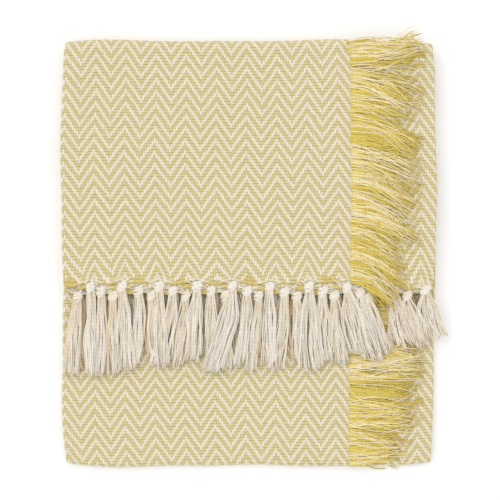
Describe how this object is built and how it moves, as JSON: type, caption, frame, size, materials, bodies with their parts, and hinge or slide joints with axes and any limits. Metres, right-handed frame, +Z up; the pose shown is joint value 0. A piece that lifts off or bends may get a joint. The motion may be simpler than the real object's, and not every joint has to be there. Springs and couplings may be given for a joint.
{
  "type": "folded throw blanket",
  "caption": "Folded cotton throw blanket in a yellow and cream herringbone weave, with knotted cream tassels along the ends and loose mustard fringe down the sides.",
  "frame": {"origin": "centre of the folded stack's footprint, on the surface it lies on", "axes": "+X from the left fold to the right fold, +Y from the bottom fold to the top fold, +Z up out of the stack"},
  "size_m": [0.475, 0.545, 0.0237],
  "materials": {
    "cloth_herringbone": "woven cotton, matt",
    "fringe_mustard": "loose cotton weft yarn, matt",
    "tassel_cream": "knotted cotton warp yarn, matt"
  },
  "bodies": {
    "lower_stack": {"back_panel": "cloth_herringbone", "bottom_fold": "cloth_herringbone", "front_panel": "cloth_herringbone", "top_fold_inside": "cloth_herringbone", "top_fold_outside": "cloth_herringbone", "side_fringe_back": "fringe_mustard", "side_fringe_front": "fringe_mustard", "tucked_fringe_back": "fringe_mustard", "tucked_fringe_front": "fringe_mustard"},
    "flap": {"flap_under_panel": "cloth_herringbone", "flap_top_panel": "cloth_herringbone", "side_fringe_flap_under": "fringe_mustard", "side_fringe_flap_top": "fringe_mustard", "tucked_fringe_flap_under": "fringe_mustard", "tucked_fringe_flap_top": "fringe_mustard", "under_tassels_outer_ply": "tassel_cream", "under_tassels_inner_ply": "tassel_cream", "under_tassels_base_ply": "tassel_cream", "front_tassel_01": "tassel_cream", "front_tassel_02": "tassel_cream", "front_tassel_03": "tassel_cream", "front_tassel_04": "tassel_cream", "front_tassel_05": "tassel_cream", "front_tassel_06": "tassel_cream", "front_tassel_07": "tassel_cream", "front_tassel_08": "tassel_cream", "middle_tassel_01": "tassel_cream", "middle_tassel_02": "tassel_cream", "middle_tassel_03": "tassel_cream", "middle_tassel_04": "tassel_cream", "middle_tassel_05": "tassel_cream", "middle_tassel_06": "tassel_cream", "middle_tassel_07": "tassel_cream", "middle_tassel_08": "tassel_cream", "middle_tassel_09": "tassel_cream", "middle_tassel_10": "tassel_cream", "rear_tassel_01": "tassel_cream", "rear_tassel_02": "tassel_cream", "rear_tassel_03": "tassel_cream", "rear_tassel_04": "tassel_cream", "rear_tassel_05": "tassel_cream", "rear_tassel_06": "tassel_cream", "rear_tassel_07": "tassel_cream", "rear_tassel_08": "tassel_cream", "rear_tassel_09": "tassel_cream", "rear_tassel_10": "tassel_cream"}
  },
  "joints": [
    {"name": "top_fold", "type": "hinge", "parent": "lower_stack", "child": "flap", "pos_m": [0, 0.26065, 0.01185], "axis": [-1, 0, 0], "range_deg": [0, 179], "deforming": ["top_fold_inside", "top_fold_outside"]}
  ]
}
